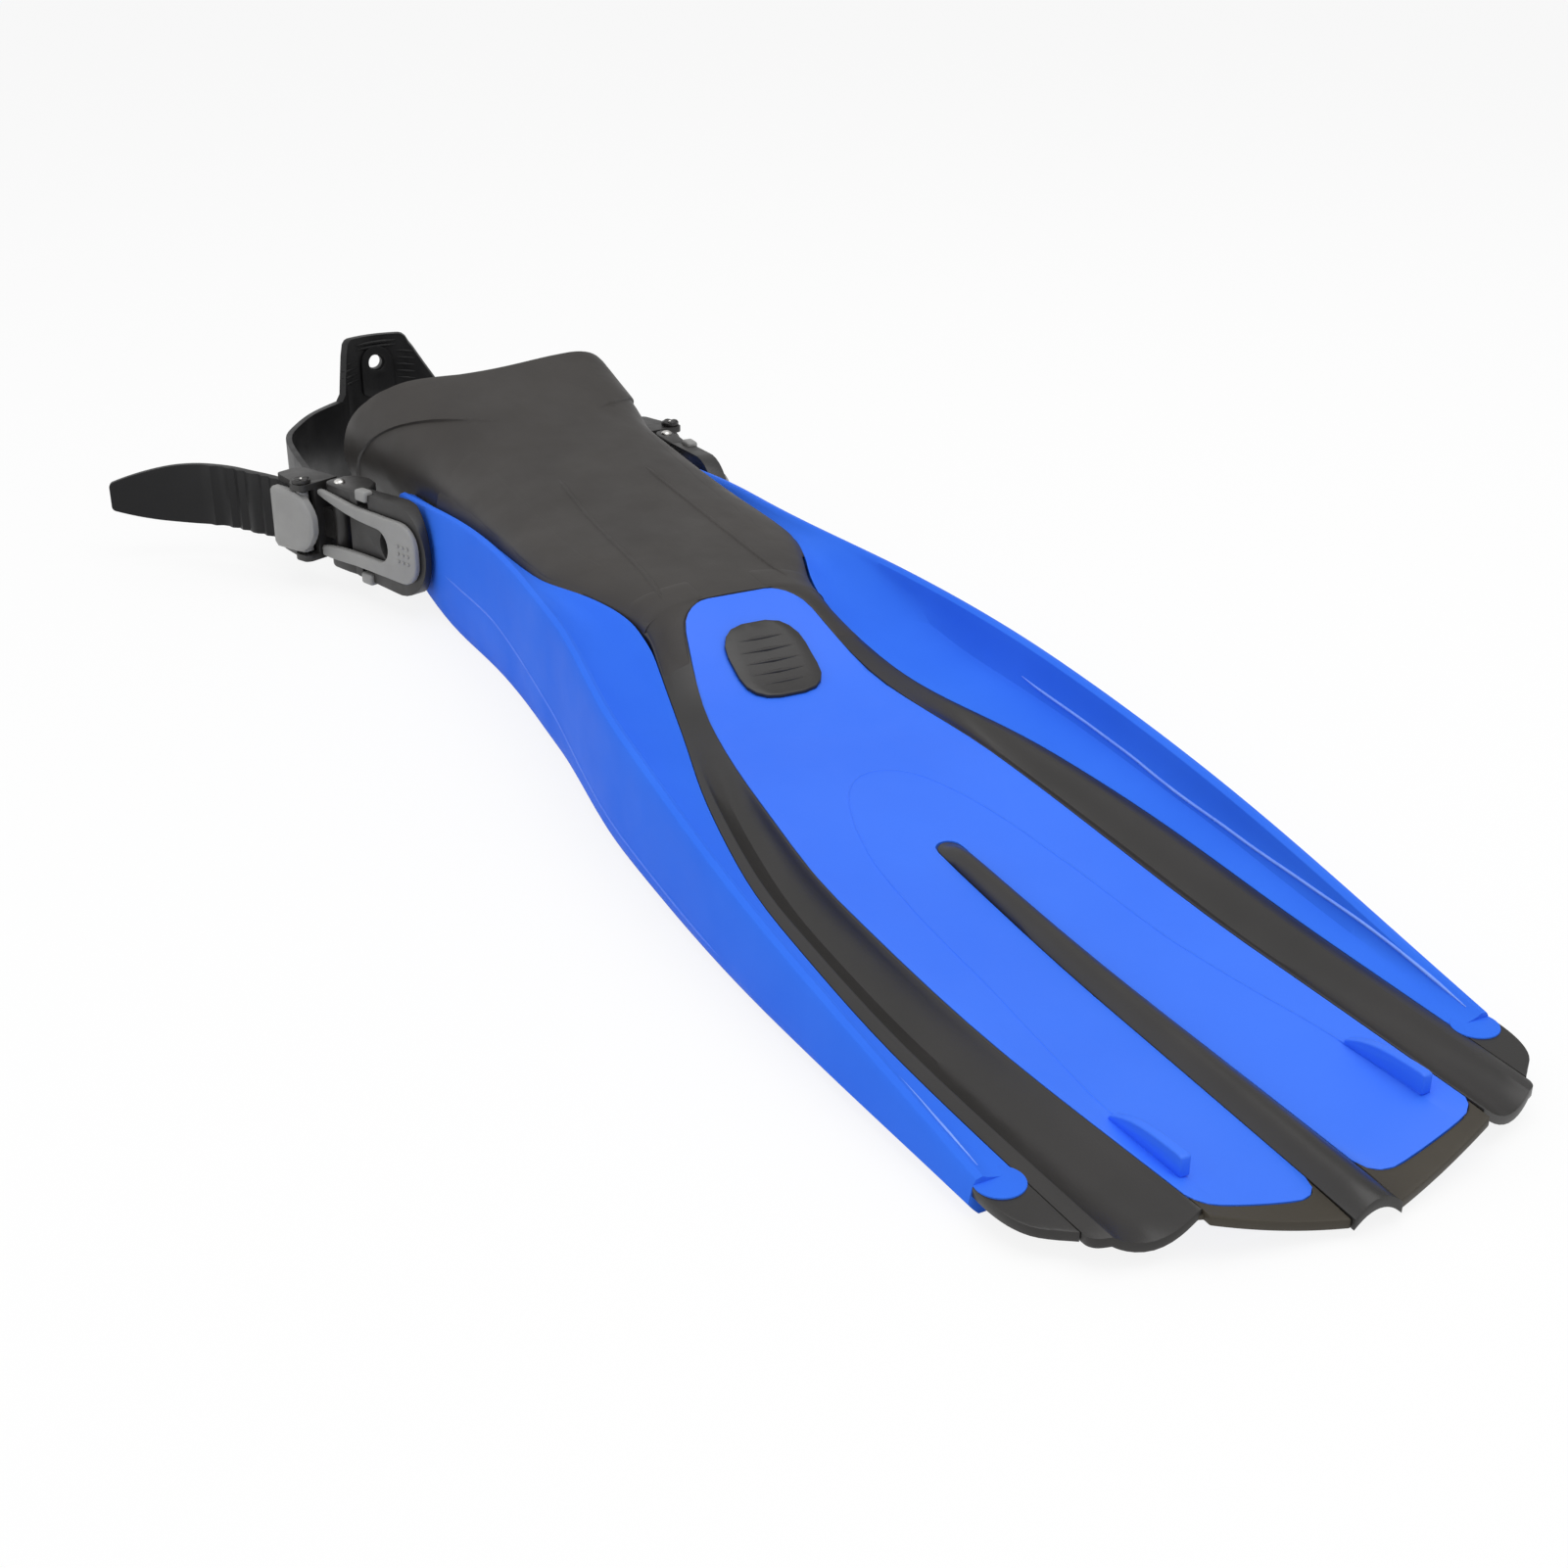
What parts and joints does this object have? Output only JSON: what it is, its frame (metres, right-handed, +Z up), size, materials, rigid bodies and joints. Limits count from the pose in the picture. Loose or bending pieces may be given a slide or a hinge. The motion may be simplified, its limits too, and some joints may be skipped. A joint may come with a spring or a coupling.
{
  "type": "swim fin",
  "caption": "Open-heel paddle swim fin with a long two-lobed blade between side rails, a rubber foot pocket and an adjustable heel strap on swivelling buckles.",
  "frame": {"origin": "on the flat underside of the sole grip, on the fin's middle line", "axes": "+X from the heel to the tip of the blade, +Y to the wearer's left, +Z up through the instep"},
  "size_m": [0.7847, 0.2764, 0.098],
  "materials": {
    "foot_pocket": "matte soft rubber",
    "sole_plate": "satin",
    "sole_grip": "matte",
    "side_rail_left": "satin, slightly translucent",
    "side_rail_right": "satin, slightly translucent",
    "blade_panel": "satin",
    "channel_left": "satin rubber",
    "channel_right": "satin rubber",
    "center_ridge": "satin rubber",
    "tip_band_left": "satin rubber",
    "tip_band_right": "satin rubber",
    "side_tip_left": "satin rubber",
    "side_tip_right": "satin rubber",
    "toe_inlay": "matte",
    "buckle_stud_left": "satin",
    "buckle_frame_left": "satin",
    "release_clip_left": "fine grain",
    "release_button_upper_left": "fine grain",
    "release_button_lower_left": "fine grain",
    "hinge_pin_left": "polished",
    "strap_carrier_left": "satin",
    "lever_pin_left": "satin",
    "strap_lever_left": "fine grain",
    "buckle_stud_right": "satin",
    "buckle_frame_right": "satin",
    "release_clip_right": "fine grain",
    "release_button_upper_right": "fine grain",
    "release_button_lower_right": "fine grain",
    "hinge_pin_right": "polished",
    "strap_carrier_right": "satin",
    "lever_pin_right": "satin",
    "strap_lever_right": "fine grain",
    "heel_strap": "satin rubber"
  },
  "bodies": {
    "fin": {"foot_pocket": "foot_pocket", "sole_plate": "sole_plate", "sole_grip": "sole_grip", "side_rail_left": "side_rail_left", "side_rail_right": "side_rail_right", "blade_panel": "blade_panel", "channel_left": "channel_left", "channel_right": "channel_right", "center_ridge": "center_ridge", "tip_band_left": "tip_band_left", "tip_band_right": "tip_band_right", "side_tip_left": "side_tip_left", "side_tip_right": "side_tip_right", "toe_inlay": "toe_inlay", "buckle_stud_left": "buckle_stud_left", "buckle_stud_right": "buckle_stud_right"},
    "strap_loop": {"heel_strap": "heel_strap", "buckle_frame_left": "buckle_frame_left", "release_clip_left": "release_clip_left", "hinge_pin_left": "hinge_pin_left", "strap_carrier_left": "strap_carrier_left", "lever_pin_left": "lever_pin_left", "buckle_frame_right": "buckle_frame_right", "release_clip_right": "release_clip_right", "hinge_pin_right": "hinge_pin_right", "strap_carrier_right": "strap_carrier_right", "lever_pin_right": "lever_pin_right"},
    "strap_lever_left": {"strap_lever_left": "strap_lever_left"},
    "strap_lever_right": {"strap_lever_right": "strap_lever_right"},
    "release_button_upper_left": {"release_button_upper_left": "release_button_upper_left"},
    "release_button_upper_right": {"release_button_upper_right": "release_button_upper_right"},
    "release_button_lower_left": {"release_button_lower_left": "release_button_lower_left"},
    "release_button_lower_right": {"release_button_lower_right": "release_button_lower_right"}
  },
  "joints": [
    {"name": "strap_swing", "type": "hinge", "parent": "fin", "child": "strap_loop", "pos_m": [-0.17, 0, 0.0315], "axis": [0, 1, 0], "range_deg": [0, 70]},
    {"name": "strap_lever_left_open", "type": "hinge", "parent": "strap_loop", "child": "strap_lever_left", "pos_m": [-0.23239, 0.08786, 0.033], "axis": [0, 0, -1], "range_deg": [0, 14], "stiffness_Nm_per_rad": 0.2},
    {"name": "release_button_upper_left_press", "type": "slide", "parent": "strap_loop", "child": "release_button_upper_left", "axis": [0, 0, -1], "range_m": [0, 0.0025], "stiffness_N_per_m": 800},
    {"name": "release_button_lower_left_press", "type": "slide", "parent": "strap_loop", "child": "release_button_lower_left", "axis": [0, 0, 1], "range_m": [0, 0.0025], "stiffness_N_per_m": 800},
    {"name": "strap_lever_right_open", "type": "hinge", "parent": "strap_loop", "child": "strap_lever_right", "pos_m": [-0.2219, -0.10667, 0.033], "axis": [0, 0, 1], "range_deg": [0, 14], "stiffness_Nm_per_rad": 0.2},
    {"name": "release_button_upper_right_press", "type": "slide", "parent": "strap_loop", "child": "release_button_upper_right", "axis": [0, 0, -1], "range_m": [0, 0.0025], "stiffness_N_per_m": 800},
    {"name": "release_button_lower_right_press", "type": "slide", "parent": "strap_loop", "child": "release_button_lower_right", "axis": [0, 0, 1], "range_m": [0, 0.0025], "stiffness_N_per_m": 800}
  ]
}
